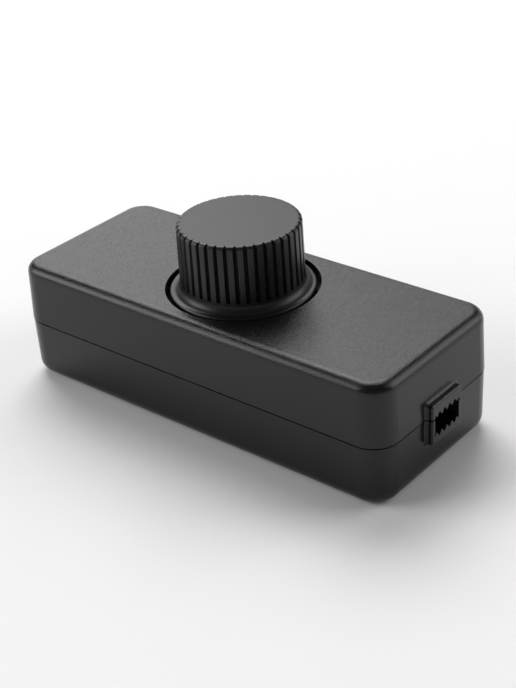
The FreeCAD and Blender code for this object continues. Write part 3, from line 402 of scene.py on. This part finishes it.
def cross_head_screw(head_radius, head_height, shank_radius, length):
    """A pan-head screw with a cross recess: its head's flat on z = 0, facing down, its shank upwards."""
    shape = bmesh.new()
    head = [(head_radius * out, head_height * up) for out, up in HEAD_PROFILE]
    turned(shape, head + [
        (shank_radius, head_height),
        (shank_radius, length - shank_radius * POINT_LENGTH),
        (shank_radius * POINT_RADIUS, length),
        (0.0, length),
    ], SCREW_STEPS)
    rim = [edge for edge in shape.edges if edge.is_boundary]
    reach, half = head_radius * CROSS_REACH, head_radius * CROSS_HALF
    corners = []
    for quarter in range(4):
        turn = Matrix.Rotation(quarter * math.pi / 2, 4, "Z")
        corners += [shape.verts.new(turn @ Vector(point))
                    for point in ((reach, -half, 0.0), (reach, half, 0.0), (half, half, 0.0))]
    cross = [shape.edges.new(pair) for pair in zip(corners, corners[1:] + corners[:1])]
    bmesh.ops.triangle_fill(shape, edges=rim + cross, use_beauty=True, normal=(0, 0, -1))
    walls = bmesh.ops.extrude_edge_only(shape, edges=cross)["geom"]
    floor_points = [item for item in walls if isinstance(item, bmesh.types.BMVert)]
    floor_edges = [item for item in walls if isinstance(item, bmesh.types.BMEdge)
                   and all(vert in floor_points for vert in item.verts)]
    bmesh.ops.scale(shape, vec=(CROSS_TAPER, CROSS_TAPER, 1.0), verts=floor_points)
    bmesh.ops.translate(shape, vec=(0, 0, head_height * CROSS_DEPTH), verts=floor_points)
    bmesh.ops.triangle_fill(shape, edges=floor_edges, use_beauty=True, normal=(0, 0, -1))
    return shape


def repeat_at(shape, placements):
    """Copies of a shape at several placements, in place of the first."""
    first = shape.verts[:] + shape.edges[:] + shape.faces[:]
    start = shape.verts[:]
    for placement in placements[1:]:
        copy = bmesh.ops.duplicate(shape, geom=first)["geom"]
        bmesh.ops.transform(shape, matrix=placement,
                            verts=[item for item in copy if isinstance(item, bmesh.types.BMVert)])
    bmesh.ops.transform(shape, matrix=placements[0], verts=start)


def make_piece(name, shape, material, node):
    """Closes a shape, puts it in the housing in place of a CAD node and gives it its finish."""
    bmesh.ops.remove_doubles(shape, verts=shape.verts, dist=MERGE)
    bmesh.ops.recalc_face_normals(shape, faces=shape.faces)
    mesh = bpy.data.meshes.new(name)
    shape.to_mesh(mesh)
    shape.free()
    mesh.shade_smooth()
    mesh.set_sharp_from_angle(angle=SHARP_ANGLE)
    mesh.materials.append(material)
    piece = bpy.data.objects.new(name, mesh)
    bpy.context.scene.collection.objects.link(piece)
    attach(piece, "housing")
    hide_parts(node)


def corner_placements(high, head_radius, height, turns):
    """Four screws at the corners of a box that their heads touch, each turned by some degrees."""
    x, y = high.x - head_radius, high.y - head_radius
    return [Matrix.Translation((x * end, y * side, height)) @ Matrix.Rotation(math.radians(turn), 4, "Z")
            for (end, side), turn in zip(CORNERS, turns)]


def make_case_screws(material):
    """The four screws seen in the recesses of the underside."""
    low, high = (Vector(corner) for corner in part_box("case_screws"))
    shape = cross_head_screw(CASE_HEAD, CASE_HEAD_HEIGHT, CASE_SHANK, high.z - low.z)
    repeat_at(shape, corner_placements(high, CASE_HEAD, low.z, CASE_TURNS))
    make_piece("cross_head_case_screws", shape, material, "case_screws")


def make_terminal_screws(material):
    """The four clamp screws, with their heads up."""
    low, high = (Vector(corner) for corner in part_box("terminal_screws"))
    shape = cross_head_screw(CLAMP_HEAD, CLAMP_HEAD_HEIGHT, CLAMP_SHANK, high.z - low.z)
    upside_down = Matrix.Rotation(math.pi, 4, "X")
    repeat_at(shape, [placement @ upside_down
                      for placement in corner_placements(high, CLAMP_HEAD, high.z, CLAMP_TURNS)])
    make_piece("cross_head_terminal_screws", shape, material, "terminal_screws")


def make_triac_screw(material):
    """The screw through the triac's tab, with its head towards the middle of the board."""
    low, high = (Vector(corner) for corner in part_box("triac_screw"))
    middle = (low + high) / 2
    shape = cross_head_screw((high.x - low.x) / 2, TAB_HEAD_HEIGHT, TAB_SHANK, high.y - low.y)
    repeat_at(shape, [Matrix.Translation((middle.x, low.y, middle.z)) @ Matrix.Rotation(-math.pi / 2, 4, "X")])
    make_piece("cross_head_triac_screw", shape, material, "triac_screw")


def make_choke():
    """A drum core with its flanges, one layer of wire turns between them, and two leads."""
    low, high = (Vector(corner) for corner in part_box("choke"))
    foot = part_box("circuit_board")[1][2]
    middle = (low + high) / 2
    radius = (high.x - low.x) / 2
    wire = (high.z - foot - FLANGE * 2) / WIRE_TURNS / 2
    core = radius * CORE_SHARE
    profile = [(0.0, foot), (radius, foot), (radius, foot + FLANGE)]
    for turn in range(WIRE_TURNS):
        level = foot + FLANGE + wire * (turn * 2 + 1)
        profile += [(core + wire * math.cos(bend), level + wire * math.sin(bend)) for bend in WIRE_BENDS]
    profile += [(core, high.z - FLANGE), (radius, high.z - FLANGE), (radius, high.z), (0.0, high.z)]
    shape = bmesh.new()
    turned(shape, profile, CHOKE_STEPS)
    for side in (1, -1):
        place = Matrix.Translation((side * CHOKE_PITCH / 2, 0, (foot + LEAD + low.z) / 2))
        bmesh.ops.create_cone(shape, cap_ends=True, segments=LEAD_STEPS, radius1=LEAD, radius2=LEAD,
                              depth=foot + LEAD - low.z, matrix=place)
    bmesh.ops.translate(shape, vec=(middle.x, middle.y, 0), verts=shape.verts)
    make_piece("wound_choke", shape, wound_wire(), "choke")


def set_camera():
    """The camera at the photograph's angle."""
    data = bpy.data.cameras.new("camera")
    data.lens = LENS
    data.sensor_width = SENSOR
    data.clip_start = CLIP_START
    data.clip_end = CLIP_END
    camera = bpy.data.objects.new("camera", data)
    bpy.context.scene.collection.objects.link(camera)
    camera.rotation_mode = "QUATERNION"
    camera.rotation_quaternion = Matrix((CAMERA_RIGHT, CAMERA_UP, CAMERA_BACK)).transposed().to_quaternion()
    camera.location = CAMERA_PLACE
    bpy.context.scene.camera = camera


def set_surroundings():
    """Pale walls below a dim ceiling."""
    world = bpy.data.worlds.new("studio")
    world.use_nodes = True
    bpy.context.scene.world = world
    tree = world.node_tree
    tree.nodes.clear()
    facing = Signal(tree, tree.nodes.new("ShaderNodeTexCoord").outputs["Generated"])
    height = facing.along(2)
    walls = WALL_BRIGHTNESS - height.ramp(*WALL_HEIGHTS) * WALL_FALL
    horizon = HORIZON_GLOW - height.ramp(*HORIZON_HEIGHTS) * HORIZON_GLOW
    sky = height.make("ShaderNodeBackground", {}, {"Color": (1, 1, 1, 1), "Strength": walls + horizon})
    height.make("ShaderNodeOutputWorld", {}, {"Surface": sky})


def softbox(name, distance, bearing, elevation, size, brightness):
    """A square soft light that faces the object; brightness is the radiance of its cloth."""
    data = bpy.data.lights.new(name, "AREA")
    data.shape = "SQUARE"
    data.size = size
    data.energy = brightness * math.pi * size * size
    lamp = bpy.data.objects.new(name, data)
    turn, lift = math.radians(bearing), math.radians(elevation)
    facing = Vector((math.cos(lift) * math.cos(turn), math.cos(lift) * math.sin(turn), math.sin(lift)))
    lamp.location = facing * distance
    lamp.rotation_mode = "QUATERNION"
    lamp.rotation_quaternion = facing.to_track_quat("Z", "Y")
    lamp.visible_camera = False
    bpy.context.scene.collection.objects.link(lamp)


def pale_paper():
    """The floor's matt sheet. Far from the object the camera and mirror images see a plain backdrop instead."""
    material, place = start_finish("pale_floor")
    paper = place.noise(PAPER_CLOUDS)
    sheet = place.make("ShaderNodeBsdfPrincipled", {}, {
        "Base Color": paper.blend(PAPER_DARK, PAPER_LIGHT),
        "Roughness": PAPER_ROUGHNESS,
        "Specular IOR Level": PAPER_SPECULAR,
    })
    seen = (place.make("ShaderNodeLightPath", output="Is Camera Ray")
            + place.make("ShaderNodeLightPath", output="Is Glossy Ray")
            + place.make("ShaderNodeLightPath", output="Is Transmission Ray"))
    far = place.from_axis(0.0, 0.0).ramp(BACKDROP_START, BACKDROP_FULL)
    backdrop = place.make("ShaderNodeEmission", {}, {"Color": BACKDROP_COLOUR, "Strength": 1.0})
    both = place.make("ShaderNodeMixShader", {}, {0: seen * far, 1: sheet, 2: backdrop})
    place.make("ShaderNodeOutputMaterial", {}, {"Surface": both})
    return material


def set_floor():
    """A pale floor just below the object."""
    floor = bpy.data.objects.new("floor", bpy.data.meshes.new("floor"))
    bpy.context.scene.collection.objects.link(floor)
    slab = bmesh.new()
    bmesh.ops.create_grid(slab, x_segments=1, y_segments=1, size=FLOOR_HALF,
                          matrix=Matrix.Translation((0, 0, -FLOOR_DROP)))
    slab.to_mesh(floor.data)
    slab.free()
    floor.data.materials.append(pale_paper())


def dress(nodes, material):
    """Gives CAD nodes a finish."""
    for name in nodes:
        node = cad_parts[name]
        for slot in node.material_slots:
            slot.material = material


bpy.context.scene.view_settings.view_transform = "Standard"
set_camera()
set_surroundings()
for softbox_name, values in SOFTBOXES.items():
    softbox(softbox_name, *values)
set_floor()

dress(["base", "top_cover"], spark_eroded_black())
dress(["knob"], smooth_black())
zinc = metal("zinc_plate", dark=(0.50, 0.51, 0.53), light=(0.66, 0.67, 0.69), roughness=0.26,
             draw=(1.0, 1.0, 1.0))
make_case_screws(zinc)
make_terminal_screws(zinc)
make_triac_screw(zinc)
make_choke()
dress(["pot_clip"], zinc)
dress(["pot_shaft"],
      moulded("natural_shaft", dark=(0.56, 0.53, 0.45), light=(0.66, 0.63, 0.55), roughness=0.42))
dress(["pot_housing"],
      metal("tinned_can", dark=(0.52, 0.52, 0.51), light=(0.66, 0.66, 0.65), roughness=0.30,
            draw=(1.0, 1.0, 8.0)))
dress(["pot_wiper", "pot_legs", "terminal_cages"],
      metal("rolled_brass", dark=(0.62, 0.42, 0.15), light=(0.76, 0.55, 0.23), roughness=0.24,
            draw=(10.0, 1.0, 1.0)))
dress(["heat_sink"],
      metal("mill_aluminium", dark=(0.66, 0.66, 0.67), light=(0.78, 0.78, 0.79), roughness=0.34,
            draw=(12.0, 1.0, 1.0)))
dress(["circuit_board"], phenolic_sheet("board_laminate"))
dress(["pot_track"], phenolic_sheet("track_laminate", CARBON_RING))
dress(["input_terminal_block", "output_terminal_block"],
      moulded("terminal_green", dark=(0.035, 0.16, 0.06), light=(0.05, 0.21, 0.085), roughness=0.35))
dress(["pot_switch"],
      part_with_leads("switch_phenolic", dark=(0.02, 0.017, 0.014), light=(0.035, 0.03, 0.025), roughness=0.4,
                      bare=below_board))
dress(["triac"],
      part_with_leads("triac_epoxy", dark=(0.014, 0.014, 0.015), light=(0.024, 0.024, 0.025), roughness=0.38,
                      bare=beside_moulding))
dress(["fuse"],
      part_with_leads("fuse_cap", dark=(0.055, 0.03, 0.02), light=(0.075, 0.042, 0.028), roughness=0.3,
                      bare=below_board))
dress(["suppression_capacitor", "timing_capacitor"],
      part_with_leads("capacitor_box", dark=(0.62, 0.36, 0.03), light=(0.72, 0.44, 0.05), roughness=0.26,
                      bare=below_board))
dress(["timing_resistor"],
      banded("timing_resistor_coat", "timing_resistor", dark=TAN_DARK, light=TAN_LIGHT, bands=TIMING_BANDS))
dress(["gate_resistor"],
      banded("gate_resistor_coat", "gate_resistor", dark=TAN_DARK, light=TAN_LIGHT, bands=GATE_BANDS))
dress(["diac"],
      banded("diac_coat", "diac", dark=(0.035, 0.07, 0.16), light=(0.05, 0.095, 0.21), bands=DIAC_BANDS))
